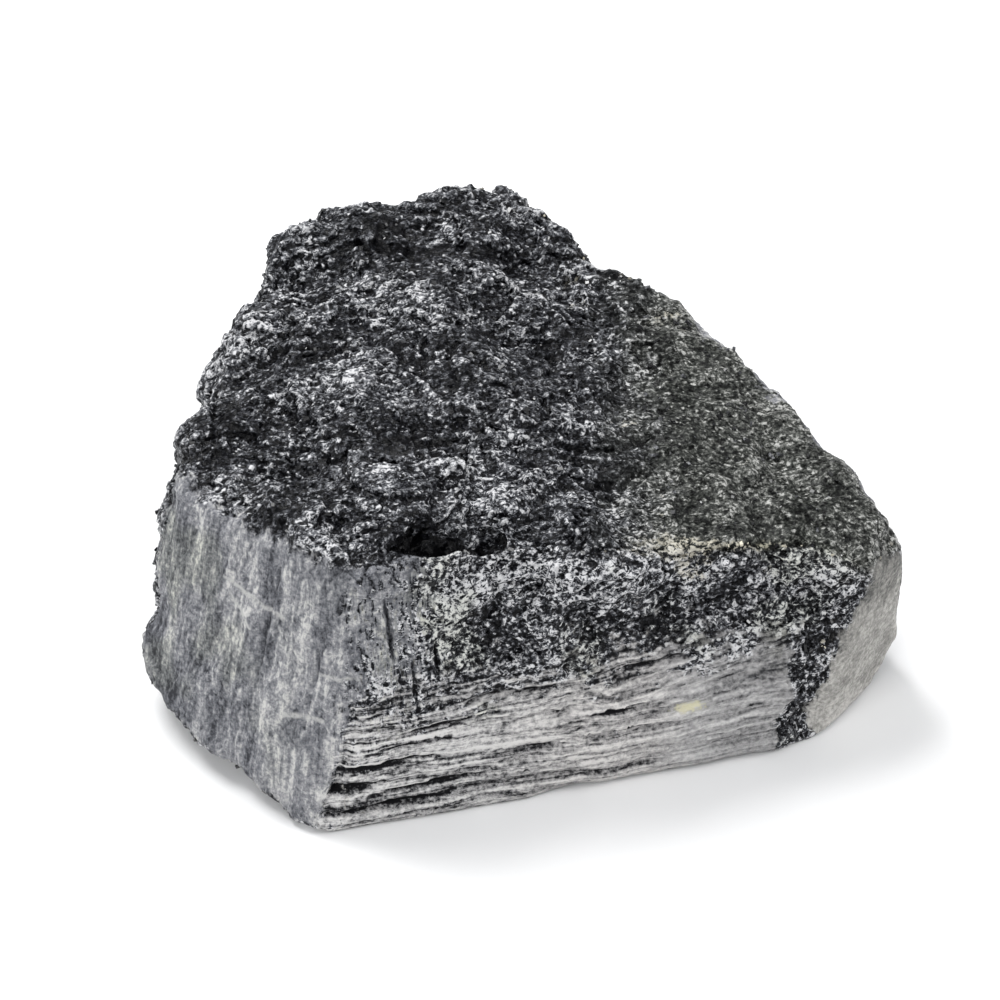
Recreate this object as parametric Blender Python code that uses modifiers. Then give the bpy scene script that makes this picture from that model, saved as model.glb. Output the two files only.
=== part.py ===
"""A rough black tourmaline crystal: one broken block of a striated prism, lying on a flat face.

+X runs along the crystal's length (its c-axis, the way the striations run), +Y to the back, +Z up.
The origin is on the resting face, under the middle of the block. Lengths are in metres.

The block is hewn from a cube by one cut for each face, remeshed finely, and weathered face by face:
fractures get chips, ledges and pits, prism faces get striations, and contact faces get flutes.
"""

import math
from collections import namedtuple

import bmesh
import bpy
from mathutils import Vector, noise

MM = 0.001

# Driving dimensions of the block
LENGTH = 48 * MM
DEPTH = 41 * MM
HEIGHT = 20.5 * MM

# The mesh
HULL_VOXEL = 0.6 * MM  # mesh that the relief is carved in
VOXEL = 0.42 * MM  # the same surface evened out after carving
TRIANGLES = 8800  # what the finished solid keeps
CARVING_PASSES = 6
REACH = 4.5 * MM  # a face further than this above a point can't cut it
FLAT_SEAT = 0.1 * MM  # points this near the ground are set flat on it

# A cut: the way its face looks, a point on it in millimetres, and the kind of surface it leaves
Cut = namedtuple("Cut", "name normal point kind")

CUTS = (
    Cut("seat", (0, 0, -1), (0, 0, 0), "seat"),
    Cut("front_prism", (0, -1, 0.07), (0, -21, 0), "prism"),
    Cut("front_prism_right", (0.1, -0.99, 0.05), (6, -21.3, 0), "prism"),
    Cut("front_break", (0, -0.97, 0.24), (0, -20.5, 8.2), "fracture"),
    Cut("front_break_right", (0.12, -0.93, 0.34), (12, -20.1, 8.8), "fracture"),
    Cut("top_left", (-0.14, -0.02, 0.99), (-14, -8, 19.2), "fracture"),
    Cut("top_middle", (0.02, -0.03, 1), (0, 0, 19.8), "fracture"),
    Cut("top_right", (0.2, -0.08, 0.97), (2, -17, 17.9), "fracture"),
    Cut("crest_corner", (0.5, -0.4, 0.77), (17, -17.6, 13.6), "fracture"),
    Cut("left_front", (-0.62, -0.75, 0.23), (-18.3, -20, 0), "contact"),
    Cut("left_contact", (-0.82, -0.53, 0.24), (-18.8, -11.2, 18.6), "contact"),
    Cut("left_end", (-0.95, -0.28, 0.19), (-22.8, -2.5, 19), "contact"),
    Cut("left_nick", (-0.92, 0.12, -0.38), (-25, -3, 5), "fracture"),
    Cut("left_under", (-0.6, -0.19, -0.775), (-18.4, -20, 0), "fracture"),
    Cut("left_back", (-0.88, 0.45, 0.15), (-15.3, 9.6, 19), "fracture"),
    Cut("back_left", (-0.7, 0.7, 0.2), (-9.3, 17.6, 19), "fracture"),
    Cut("back_prism", (0, 1, 0.02), (-3, 20, 10), "prism"),
    Cut("back_slope", (0.05, 0.8, 0.6), (-2, 19.2, 18), "fracture"),
    Cut("back_under", (0.1, 0.72, -0.66), (0, 20, 4), "fracture"),
    Cut("back_right", (0.8, 0.58, 0.12), (13, 7.5, 11), "fracture"),
    Cut("right_back", (0.935, 0.355, 0.1), (16.7, -2.9, 16), "contact"),
    Cut("right_under", (0.6, 0.1, -0.79), (21.5, -8, 2), "fracture"),
    Cut("right_facet", (0.66, -0.74, -0.08), (14.9, -20.2, 0), "cleavage"),
)

# A pit or a bite of its own: its middle, its half sizes and how deep it goes, in millimetres
Hollow = namedtuple("Hollow", "centre reach depth")

HOLLOWS = (
    Hollow((-7.1, -15.6, 19), (3.2, 1.5, 2.5), 1.8),  # dark notch behind the front rim
    Hollow((-12, 16.5, 19), (6, 1.3, 3), 1.4),  # crevice inside the back left rim
    Hollow((-20, 4, 18), (2.2, 3.4, 5), 1.1),  # bite out of the left rim
    Hollow((2, 2, 19.5), (7, 5, 4), 0.7),  # shallow dish in the top
    Hollow((11, -18.6, 11.5), (5, 3, 1.6), 0.9),  # scoop below the crest of the front fracture
    Hollow((14.9, -20.4, 2.4), (1.7, 2, 2.6), 1.4),  # broken corner beside the pale facet
    Hollow((0, -21, 0), (3.2, 1.6, 0.9), 0.7),  # nick in the front lower edge
    Hollow((10, -21, 0), (2.4, 1.6, 0.7), 0.6),  # a second nick
    Hollow((-4, 20.5, 9), (5, 2.6, 3), 1.6),  # bite out of the back
    Hollow((19, 0, 11), (4, 4, 3), 1.1),  # bite out of the right back edge
)
HOLLOW_FLOOR = 0.35  # a hollow is deepest out to this share of its half size
HOLLOW_RIM = 1.15  # and ends at this one
HOLLOW_WANDER = 0.25  # how ragged its rim is
HOLLOW_GRAIN = 1.6 * MM

# A low wall across a fracture, where it steps down: a point on it, the way it steps, how far and how high
Ledge = namedtuple("Ledge", "point towards length drop")

LEDGES = (
    Ledge((0, -11, 20), (0.1, -1, 0), 12, 0.6),
    Ledge((8, 4, 19), (0.5, 0.85, 0), 13, 0.9),
    Ledge((-12, 6, 20), (-0.8, 0.6, 0), 11, 0.8),
    Ledge((6, -19, 14.5), (0.05, -0.2, -1), 9, 0.7),
    Ledge((13, -12, 16), (0.9, -0.4, 0), 9, 0.6),
)
LEDGE_WALL = (-0.2 * MM, 0.5 * MM)  # where its wall starts and ends, across the step
LEDGE_WANDER = 1.6 * MM
LEDGE_GRAIN = 5 * MM
LEDGE_FADE = (0.25, 0.5)  # share of its length at which it starts to fade, ahead and to the sides

# Relief of a fracture: angular chips of three sizes as (size, depth), and terraces
CHIPS = ((5.5 * MM, 0.75 * MM), (2.6 * MM, 0.5 * MM), (1.4 * MM, 0.22 * MM))
CHIP_TILT = 0.9
CHIP_HOLLOW = 0.55  # how far a chip's floor curves, against how far it tilts
CHIP_MEAN = -0.1  # takes the average depth out, so that a face stays on its plane
CHIP_SPREAD = 7.3  # sets neighbouring chips far apart in the noise that tilts them
TERRACE_REACH = 9 * MM
TERRACE_STEP = 0.35 * MM
TERRACES = 2.0
TERRACE_RISER = 0.18  # share of a terrace that its wall takes up

# Striations of a prism face: (spacing, depth) of the coarse and the fine grooves
GROOVES = ((2.3 * MM, 0.45 * MM), (1.1 * MM, 0.22 * MM))
GROOVE_DRIFT = 22 * MM  # a groove keeps its line over about this length
GROOVE_WANDER = 0.6 * MM
GROOVE_BEND = 9 * MM  # it wanders once over about this length
GROOVE_SHARE = 0.6  # share of its depth that a groove has where it is neither strong nor faint

# Flutes down the contact faces
FLUTE_WIDTH = 2.6 * MM
FLUTE_DEPTH = 0.3 * MM
FLUTE_STRETCH = 6.0

# Share of the chips that the calmer kinds of face still have
PRISM_CHIPS = 0.25
CONTACT_CHIPS = 0.2
CLEAVAGE_CHIPS = 0.12

# Two faces within this height of each other wear their edge down together
EDGE_WIDTH = 0.5 * MM
EDGE_WEAR = 0.16 * MM
EDGE_GRAIN = 1.8 * MM

COLOUR = (0.03, 0.031, 0.035, 1)
ROUGHNESS = 0.42


def clear_scene():
    for obj in list(bpy.data.objects):
        bpy.data.objects.remove(obj, do_unlink=True)


def smooth_step(low, high, value):
    share = min(1.0, max(0.0, (value - low) / (high - low)))
    return share * share * (3 - 2 * share)


def hewn_block(collection):
    """A cube cut down by every plane in CUTS."""
    mesh = bpy.data.meshes.new("hewn_block")
    block = bmesh.new()
    bmesh.ops.create_cube(block, size=2 * LENGTH)
    for cut in CUTS:
        bmesh.ops.bisect_plane(
            block,
            geom=block.verts[:] + block.edges[:] + block.faces[:],
            plane_co=Vector(cut.point) * MM,
            plane_no=Vector(cut.normal).normalized(),
            clear_outer=True,
        )
        rim = [edge for edge in block.edges if edge.is_boundary]
        bmesh.ops.contextual_create(block, geom=rim)
    bmesh.ops.recalc_face_normals(block, faces=block.faces)
    block.to_mesh(mesh)
    block.free()
    obj = bpy.data.objects.new("hewn_block", mesh)
    collection.objects.link(obj)
    return obj


def evaluated_mesh(obj):
    bpy.context.view_layer.update()
    graph = bpy.context.evaluated_depsgraph_get()
    return bpy.data.meshes.new_from_object(obj.evaluated_get(graph))


def remeshed(obj, voxel):
    """The object's surface as an even mesh of small squares."""
    remesh = obj.modifiers.new("Remesh", "REMESH")
    remesh.mode = "VOXEL"
    remesh.voxel_size = voxel
    mesh = evaluated_mesh(obj)
    obj.modifiers.clear()
    return mesh


def chips(point):
    """Tilted chip scars side by side, with sharp ridges between them, in three sizes."""
    height = 0.0
    for size, depth in CHIPS:
        _, centres = noise.voronoi(point / size)
        scars = []
        for centre in centres:
            away = point / size - centre
            lean = noise.cell_vector(centre * CHIP_SPREAD) * 2 - Vector((1, 1, 1))
            scars.append(CHIP_TILT * lean.dot(away) + CHIP_HOLLOW * away.length_squared)
        height += depth * (min(scars) - CHIP_MEAN)
    return height


def terraces(point):
    """Flat treads with short steep risers, as a fracture leaves where it jumps between levels."""
    level = TERRACES * noise.noise(point / TERRACE_REACH)
    tread = math.floor(level)
    return TERRACE_STEP * (tread + 0.5 + smooth_step(1 - TERRACE_RISER, 1, level - tread))


def ledges(point):
    """How far the ledges have sunk the surface: most at each wall, and less further ahead of it."""
    depth = 0.0
    wall_start, wall_end = LEDGE_WALL
    fade_ahead, fade_beside = LEDGE_FADE
    for ledge in LEDGES:
        away = point - Vector(ledge.point) * MM
        towards = Vector(ledge.towards).normalized()
        ahead = away.dot(towards) + LEDGE_WANDER * noise.noise(point / LEDGE_GRAIN)
        beside = (away - towards * away.dot(towards)).length
        share = smooth_step(wall_start, wall_end, ahead)
        share *= 1 - smooth_step(fade_ahead, 1.0, ahead / (ledge.length * MM))
        share *= 1 - smooth_step(fade_beside, 1.0, beside / (ledge.length * MM))
        depth += ledge.drop * MM * share
    return depth


def hollows(point):
    """How far the pits and bites sink the surface, each deepest in its middle."""
    depth = 0.0
    for hollow in HOLLOWS:
        away = point - Vector(hollow.centre) * MM
        spread = math.sqrt(sum((a / (r * MM)) ** 2 for a, r in zip(away, hollow.reach)))
        spread += HOLLOW_WANDER * noise.noise(point / HOLLOW_GRAIN)
        depth += hollow.depth * MM * (1 - smooth_step(HOLLOW_FLOOR, HOLLOW_RIM, spread))
    return depth


def fracture_height(point):
    return chips(point) + terraces(point) - ledges(point)


def prism_height(point):
    """Grooves along X whose line wanders a little, deep in places and faint in others."""
    depth = 0.0
    wander = GROOVE_WANDER * noise.noise(point / GROOVE_BEND)
    for spacing, amount in GROOVES:
        across = (point.z + wander) / spacing
        row = noise.noise(Vector((point.x / GROOVE_DRIFT, 0, across * 2)))
        groove = (0.5 + 0.5 * math.cos(2 * math.pi * across)) ** 2
        depth += amount * groove * max(0.0, GROOVE_SHARE + row)
    return PRISM_CHIPS * chips(point) - depth


def contact_height(point):
    """Shallow flutes that run down the face."""
    along = Vector((point.x, point.y, point.z / FLUTE_STRETCH)) / FLUTE_WIDTH
    return FLUTE_DEPTH * (abs(noise.noise(along)) - 0.5) + CONTACT_CHIPS * chips(point)


def cleavage_height(point):
    return CLEAVAGE_CHIPS * chips(point)


def seat_height(point):
    return 0.0


# How far a surface of each kind stands above its plane at a point
HEIGHTS = {
    "fracture": fracture_height,
    "prism": prism_height,
    "contact": contact_height,
    "cleavage": cleavage_height,
    "seat": seat_height,
}


def excess(point, faces):
    """How far a point stands outside each rough face near it, with the face's normal."""
    hollow = hollows(point)
    found = []
    for normal, level, kind in faces:
        flat = point.dot(normal) - level
        if flat > -REACH:
            sunk = 0.0 if kind == "seat" else hollow
            found.append((flat - HEIGHTS[kind](point) + sunk, normal))
    return found


def carved(point, faces):
    """Moves a point of the hewn block onto the rough surface, where the rough faces meet."""
    place = point.copy()
    for _ in range(CARVING_PASSES):
        found = excess(place, faces)
        top = max(height for height, _ in found)
        push = Vector()
        weight = 0.0
        for height, normal in found:
            share = smooth_step(-EDGE_WIDTH, 0, height - top)
            push += normal * share
            weight += share
        wear = EDGE_WEAR * min(1.0, weight - 1) * (1 + noise.noise(place / EDGE_GRAIN))
        place -= push.normalized() * (top + wear)
    place.z = max(0.0, place.z)
    return place


def weather(mesh):
    faces = []
    for cut in CUTS:
        normal = Vector(cut.normal).normalized()
        faces.append((normal, normal.dot(Vector(cut.point) * MM), cut.kind))
    for vertex in mesh.vertices:
        vertex.co = carved(vertex.co, faces)


def simplified(obj):
    """The carved mesh with its triangles kept where the shape needs them."""
    decimate = obj.modifiers.new("Decimate", "DECIMATE")
    decimate.ratio = TRIANGLES / sum(len(face.vertices) - 2 for face in obj.data.polygons)
    return evaluated_mesh(obj)


def sized_on_origin(mesh):
    """Brings the block to its size, resting on the ground with its middle over the origin."""
    for axis, size in enumerate((LENGTH, DEPTH, HEIGHT)):
        low = min(vertex.co[axis] for vertex in mesh.vertices)
        high = max(vertex.co[axis] for vertex in mesh.vertices)
        start = 0.0 if axis == 2 else -size / 2
        for vertex in mesh.vertices:
            vertex.co[axis] = start + (vertex.co[axis] - low) * size / (high - low)
    for vertex in mesh.vertices:
        if vertex.co.z < FLAT_SEAT:
            vertex.co.z = 0.0


def tourmaline_material():
    material = bpy.data.materials.new("black_tourmaline")
    material.use_nodes = True
    shader = material.node_tree.nodes["Principled BSDF"]
    shader.inputs["Base Color"].default_value = COLOUR
    shader.inputs["Roughness"].default_value = ROUGHNESS
    shader.inputs["Metallic"].default_value = 0
    return material


def build():
    clear_scene()
    collection = bpy.data.collections.new("tourmaline_crystal")
    bpy.context.scene.collection.children.link(collection)

    block = hewn_block(collection)
    crystal = bpy.data.objects.new("crystal", remeshed(block, HULL_VOXEL))
    collection.objects.link(crystal)
    bpy.data.objects.remove(block)

    weather(crystal.data)
    crystal.data = remeshed(crystal, VOXEL)
    crystal.data = simplified(crystal)
    crystal.modifiers.clear()
    sized_on_origin(crystal.data)
    crystal.data.materials.clear()
    crystal.data.materials.append(tourmaline_material())


build()
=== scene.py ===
import bmesh
import bpy
import numpy as np
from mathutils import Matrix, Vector, noise


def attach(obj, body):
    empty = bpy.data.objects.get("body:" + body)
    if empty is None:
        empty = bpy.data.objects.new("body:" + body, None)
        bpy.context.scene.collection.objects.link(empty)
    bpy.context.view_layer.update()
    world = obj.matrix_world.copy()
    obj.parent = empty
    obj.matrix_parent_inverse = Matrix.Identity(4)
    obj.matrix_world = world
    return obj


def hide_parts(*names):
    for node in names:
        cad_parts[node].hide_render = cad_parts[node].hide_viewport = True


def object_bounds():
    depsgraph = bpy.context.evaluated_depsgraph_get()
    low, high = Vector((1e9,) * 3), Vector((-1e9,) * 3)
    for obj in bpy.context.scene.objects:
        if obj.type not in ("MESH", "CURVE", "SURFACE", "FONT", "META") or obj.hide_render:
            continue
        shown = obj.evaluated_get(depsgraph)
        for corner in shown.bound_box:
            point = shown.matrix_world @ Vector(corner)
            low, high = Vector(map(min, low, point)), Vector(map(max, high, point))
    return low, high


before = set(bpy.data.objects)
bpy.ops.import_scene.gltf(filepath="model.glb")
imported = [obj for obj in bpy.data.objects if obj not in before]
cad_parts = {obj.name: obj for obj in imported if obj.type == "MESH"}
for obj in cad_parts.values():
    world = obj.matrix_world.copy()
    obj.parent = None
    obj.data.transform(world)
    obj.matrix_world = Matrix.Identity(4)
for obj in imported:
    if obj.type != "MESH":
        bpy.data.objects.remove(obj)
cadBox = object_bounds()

mm = 0.001

# The stone's flat sides as they were hewn: the way each looks, a point on it in mm, and its surface
stoneSides = {
    "seat": ((0, 0, -1), (0, 0, 0), "seat"),
    "frontPrism": ((0, -1, 0.07), (0, -21, 0), "striated"),
    "frontPrismRight": ((0.1, -0.99, 0.05), (6, -21.3, 0), "striated"),
    "frontBreak": ((0, -0.97, 0.24), (0, -20.5, 8.2), "hackly"),
    "frontBreakRight": ((0.12, -0.93, 0.34), (12, -20.1, 8.8), "hackly"),
    "topLeft": ((-0.14, -0.02, 0.99), (-14, -8, 19.2), "hackly"),
    "topMiddle": ((0.02, -0.03, 1), (0, 0, 19.8), "hackly"),
    "topRight": ((0.2, -0.08, 0.97), (2, -17, 17.9), "hackly"),
    "topCorner": ((0.5, -0.4, 0.77), (17, -17.6, 13.6), "hackly"),
    "leftFront": ((-0.62, -0.75, 0.23), (-18.3, -20, 0), "dusty"),
    "leftContact": ((-0.82, -0.53, 0.24), (-18.8, -11.2, 18.6), "dusty"),
    "leftEnd": ((-0.95, -0.28, 0.19), (-22.8, -2.5, 19), "dusty"),
    "leftNick": ((-0.92, 0.12, -0.38), (-25, -3, 5), "hackly"),
    "leftUnder": ((-0.6, -0.19, -0.775), (-18.4, -20, 0), "hackly"),
    "leftBack": ((-0.88, 0.45, 0.15), (-15.3, 9.6, 19), "hackly"),
    "backLeft": ((-0.7, 0.7, 0.2), (-9.3, 17.6, 19), "hackly"),
    "backPrism": ((0, 1, 0.02), (-3, 20, 10), "striated"),
    "backSlope": ((0.05, 0.8, 0.6), (-2, 19.2, 18), "hackly"),
    "backUnder": ((0.1, 0.72, -0.66), (0, 20, 4), "hackly"),
    "backRight": ((0.8, 0.58, 0.12), (13, 7.5, 11), "hackly"),
    "rightBack": ((0.935, 0.355, 0.1), (16.7, -2.9, 16), "dusty"),
    "rightUnder": ((0.6, 0.1, -0.79), (21.5, -8, 2), "hackly"),
    "rightFacet": ((0.66, -0.74, -0.08), (14.9, -20.2, 0), "pale"),
}
surfaceKinds = ("hackly", "striated", "dusty", "pale", "seat")
surfaceMarks = ("lined", "calm", "edge", "crest", "corner", "chipped", "front", "cut", "fineCrest",
                "coarseCrest")
sideGroups = ("front", "top", "left", "back", "right")
hewnMiddle = np.array((-1.36, -0.403, 0))  # the block's middle before it was centred, in mm
hewnStretch = np.array((1.0211, 1, 0.9934))

# What a user would change on the stone's surface; lengths in mm
stoneLook = {
    "remesh": 0.2,  # size of the squares that carry the relief
    "triangles": 192000,
    "borderBlend": {"hackly": 0.5, "striated": 0.45, "dusty": 0.8, "pale": 0.25, "seat": 0.15},
    "borderWander": 0.6,
    "edgeWidth": 0.5,  # how wide the worn edges between the sides are
    "linedUpTo": (7.0, 12.5),  # height at which the growth lines start to fade into the break, and end
    "crestWidth": 0.8,  # how far the cream grains reach from the crest of the front
    "cornerDust": (-6.0, -10.0),  # the end face's dust reaches round the corner between these x
    "chippedCorner": (1.2, 2.1),  # width of the broken strip between the band and the pale facet
    "calmFrom": (3.0, 10.0),  # x from which the top gets finer and calmer
    "crestRounds": (3, 14),  # rings of neighbours that a ridge is measured against, fine and coarse
}

# Deep cuts in a side: the side, both ends in its own two directions, half width and depth, in mm
stoneCuts = (
    # grooves low on the left of the striated band, as (x, z)
    ("front", (-17.0, 3.1), (-11.5, 3.5), 0.42, 0.7),
    ("front", (-15.6, 4.7), (-8.0, 4.9), 0.26, 0.5),
    ("front", (-15.8, 1.5), (-7.5, 1.8), 0.28, 0.55),
    ("front", (-13.5, 2.5), (-4.0, 3.0), 0.16, 0.3),
    ("front", (-13.0, 6.0), (-7.0, 6.1), 0.16, 0.3),
    ("front", (-10.6, 6.9), (-5.2, 7.2), 0.2, 0.35),
    ("front", (1.2, 6.1), (5.4, 6.2), 0.18, 0.35),
    ("front", (-7.5, 8.6), (0.5, 8.9), 0.22, 0.35),
    ("front", (3.0, 8.8), (9.0, 9.4), 0.2, 0.3),
    # slits beside the corner, as (x, z)
    ("front", (-11.0, 16.6), (-10.6, 12.0), 0.2, 0.45),
    ("front", (-9.6, 12.6), (-9.3, 8.0), 0.14, 0.3),
    ("front", (-8.0, 14.0), (-7.8, 9.4), 0.12, 0.25),
    # dark creases down the end face, as (y, z)
    ("left", (-13.3, 17.5), (-14.3, 6.5), 0.15, 0.22),
    ("left", (-16.8, 16.5), (-17.8, 7.0), 0.13, 0.18),
    # dark notch behind the front rim and crevice inside the back rim, as (x, y)
    ("top", (-10.2, -16.2), (-3.4, -15.2), 1.2, 1.4),
    ("top", (-17.5, 14.4), (-7.0, 17.2), 0.35, 0.6),
)
cutAxes = {"front": (0, 2), "left": (1, 2), "top": (0, 1)}

# The relief on each kind of surface; sizes and depths in mm
reliefLook = {
    "Chip Size": 2.0,
    "Chip Depth": 0.42,
    "Shard Size": 0.85,
    "Shard Depth": 0.17,
    "Grain Size": 0.42,
    "Grain Depth": 0.06,
    "Step Reach": 5.5,
    "Step Height": 0.36,
    "Rib Length": 16.0,
    "Rib Width": 0.8,
    "Rib Depth": 0.17,
    "Line Length": 9.0,
    "Line Width": 0.34,
    "Line Depth": 0.08,
    "Fibre Length": 4.5,
    "Fibre Width": 0.4,
    "Fibre Depth": 0.07,
    "Flute Length": 9.0,
    "Flute Width": 1.4,
    "Flute Depth": 0.16,
    "Bump Size": 3.2,
    "Bump Depth": 0.1,
    "Cut Depth": 1.0,  # share of the depths in stoneCuts
    "Edge Wear": 0.45,
}


def pointsOf(mesh):
    points = np.empty(len(mesh.vertices) * 3)
    mesh.vertices.foreach_get("co", points)
    return points.reshape(-1, 3)


def setPoints(mesh, points):
    mesh.vertices.foreach_set("co", points.ravel())
    mesh.update()


def normalsOf(mesh):
    normals = np.empty(len(mesh.vertices) * 3)
    mesh.vertices.foreach_get("normal", normals)
    return normals.reshape(-1, 3)


def storeShare(mesh, name, values):
    kept = mesh.attributes.get(name) or mesh.attributes.new(name, "FLOAT", "POINT")
    kept.data.foreach_set("value", np.asarray(values, dtype=np.float32))


def evaluatedMesh(obj):
    bpy.context.view_layer.update()
    graph = bpy.context.evaluated_depsgraph_get()
    return bpy.data.meshes.new_from_object(obj.evaluated_get(graph))


def takeMesh(obj, mesh):
    old = obj.data
    obj.data = mesh
    obj.modifiers.clear()
    bpy.data.meshes.remove(old)


def smoothShare(values, low, high):
    share = np.clip((values - low) / (high - low), 0, 1)
    return share * share * (3 - 2 * share)


# How far each point lies inside the deep cuts, in mm of depth
def cutDepths(points, groupShare, wander):
    depth = np.zeros(len(points))
    for group, start, end, halfWidth, deep in stoneCuts:
        flat = points[:, cutAxes[group]] + 0.2 * wander[:, None] * np.array((0.2, 1))
        start, end = np.array(start), np.array(end)
        along = (flat - start) @ (end - start) / np.sum((end - start) ** 2)
        nearest = start + np.clip(along, 0, 1)[:, None] * (end - start)
        away = np.linalg.norm(flat - nearest, axis=1) / halfWidth
        taper = 1 - 0.75 * np.abs(2 * np.clip(along, 0, 1) - 1) ** 2
        cut = deep * taper * np.exp(-(away / taper) ** 4) * smoothShare(groupShare[group], 0.3, 0.8)
        depth = np.maximum(depth, cut)
    return depth


# Stores on each point how much of each kind of surface it belongs to, and the marks on it
def markSurfaces(mesh):
    points = pointsOf(mesh) / mm
    coarse = np.array([noise.noise(Vector(p) / 1.7) for p in points])
    fine = np.array([noise.noise(Vector(p) / 0.7) for p in points])
    wander = coarse + 0.5 * fine
    heights = {kind: [] for kind in surfaceKinds}
    groups = {group: [] for group in sideGroups}
    for name, (normal, point, kind) in stoneSides.items():
        facing = np.array(normal) / np.linalg.norm(normal)
        middle = (np.array(point) - hewnMiddle) * hewnStretch
        height = (points - middle) @ facing
        heights[kind].append(height)
        for group in sideGroups:
            if name.startswith(group):
                groups[group].append(height)

    groups = {group: np.max(found, axis=0) for group, found in groups.items()}
    ranked = np.sort(list(groups.values()), axis=0)
    edge = np.exp((ranked[-2] - ranked[-1]) / stoneLook["edgeWidth"])
    groupShare = {group: np.exp(np.minimum(0, found - ranked[-1]) / 0.3) for group, found in groups.items()}

    shares = {kind: np.max(heights[kind], axis=0) for kind in surfaceKinds}
    shares["hackly"] += stoneLook["borderWander"] * wander
    top = np.max(list(shares.values()), axis=0)
    for kind in surfaceKinds:
        shares[kind] = np.exp((shares[kind] - top) / stoneLook["borderBlend"][kind])
    whole = sum(shares.values())
    shares = {kind: share / whole for kind, share in shares.items()}

    x, y, z = points.T
    corner = groupShare["front"] * smoothShare(x + 1.5 * wander, *stoneLook["cornerDust"])
    shares["dusty"] = shares["dusty"] + 0.55 * corner * shares["hackly"]
    shares["hackly"] = (1 - 0.55 * corner) * shares["hackly"]
    beside = groups["front"] - groups["right"] + 0.5 * wander
    chipped = groupShare["front"] * (1 - smoothShare(beside, *stoneLook["chippedCorner"]))
    shares["hackly"] = shares["hackly"] + chipped * shares["striated"]
    shares["striated"] = (1 - chipped) * shares["striated"]
    for kind in surfaceKinds:
        storeShare(mesh, kind, shares[kind])
    storeShare(mesh, "corner", corner)
    storeShare(mesh, "chipped", chipped)
    storeShare(mesh, "front", groupShare["front"])
    storeShare(mesh, "crest", np.exp(-np.abs(groups["top"] - groups["front"]) / stoneLook["crestWidth"]))

    start, end = stoneLook["linedUpTo"]
    lined = groupShare["front"] * (1 - chipped) * (1 - smoothShare(z + 1.6 * coarse, start, end))
    storeShare(mesh, "lined", np.maximum(lined * (1 - shares["pale"]), shares["striated"]))
    calm = smoothShare(x + 2 * coarse - 0.25 * y - 3, *stoneLook["calmFrom"])
    storeShare(mesh, "calm", groupShare["top"] * calm)
    storeShare(mesh, "edge", edge * (1 - shares["seat"]))
    storeShare(mesh, "cut", cutDepths(points, groupShare, wander) * (1 - shares["seat"]))


# Stores on each point how far it stands out of its neighbourhood (ridge) or sinks into it (hollow)
def markCrests(mesh):
    points = pointsOf(mesh)
    normals = normalsOf(mesh)
    ends = np.empty(len(mesh.edges) * 2, dtype=np.int64)
    mesh.edges.foreach_get("vertices", ends)
    a, b = ends.reshape(-1, 2).T
    count = np.bincount(a, minlength=len(points)) + np.bincount(b, minlength=len(points))
    smooth = points.copy()
    done = 0
    for name, rounds in zip(("fineCrest", "coarseCrest"), stoneLook["crestRounds"]):
        for _ in range(rounds - done):
            mean = np.empty_like(smooth)
            for axis in range(3):
                mean[:, axis] = np.bincount(a, smooth[b, axis], len(points))
                mean[:, axis] += np.bincount(b, smooth[a, axis], len(points))
            smooth = 0.5 * smooth + 0.5 * mean / count[:, None]
        done = rounds
        storeShare(mesh, name, np.einsum("ij,ij->i", points - smooth, normals) / mm)


# Small helpers for node trees, of geometry and of materials alike
def addNode(tree, kind, **settings):
    node = tree.nodes.new(kind)
    for name, value in settings.items():
        setattr(node, name, value)
    return node


def feed(tree, socket, value):
    if isinstance(value, bpy.types.NodeSocket):
        tree.links.new(value, socket)
    elif value is not None:
        socket.default_value = value


def calc(tree, operation, *values):
    node = addNode(tree, "ShaderNodeMath", operation=operation)
    for socket, value in zip(node.inputs, values):
        feed(tree, socket, value)
    return node.outputs[0]


def times(tree, value, factor):
    return calc(tree, "MULTIPLY", value, factor)


def total(tree, *values):
    result = values[0]
    for value in values[1:]:
        result = calc(tree, "ADD", result, value)
    return result


def vectorCalc(tree, operation, *values, scale=None):
    node = addNode(tree, "ShaderNodeVectorMath", operation=operation)
    for socket, value in zip(node.inputs, values):
        feed(tree, socket, value)
    if scale is not None:
        feed(tree, node.inputs["Scale"], scale)
    return node.outputs["Value"] if operation in ("DOT_PRODUCT", "LENGTH") else node.outputs["Vector"]


def combine(tree, x, y, z):
    node = addNode(tree, "ShaderNodeCombineXYZ")
    for socket, value in zip(node.inputs, (x, y, z)):
        feed(tree, socket, value)
    return node.outputs[0]


def split(tree, vector):
    node = addNode(tree, "ShaderNodeSeparateXYZ")
    feed(tree, node.inputs[0], vector)
    return node.outputs


def noiseAt(tree, vector, detail=2.0, roughness=0.5):
    node = addNode(tree, "ShaderNodeTexNoise")
    feed(tree, node.inputs["Vector"], vector)
    node.inputs["Scale"].default_value = 1
    node.inputs["Detail"].default_value = detail
    node.inputs["Roughness"].default_value = roughness
    return node.outputs


def cellsAt(tree, vector, **settings):
    node = addNode(tree, "ShaderNodeTexVoronoi", **settings)
    feed(tree, node.inputs["Vector"], vector)
    node.inputs["Scale"].default_value = 1
    return node.outputs


def ramp(tree, value, low, high, start=0.0, end=1.0, smooth=True):
    node = addNode(tree, "ShaderNodeMapRange")
    node.interpolation_type = "SMOOTHSTEP" if smooth else "LINEAR"
    for socket, setting in zip(node.inputs, (value, low, high, start, end)):
        feed(tree, socket, setting)
    return node.outputs[0]


# Noise around zero, in a place that is stretched by a size in mm along each axis
def unrest(tree, place, size, detail=2.0, roughness=0.5):
    stretched = vectorCalc(tree, "DIVIDE", place, size)
    return calc(tree, "SUBTRACT", noiseAt(tree, stretched, detail, roughness)["Fac"], 0.5)


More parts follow.
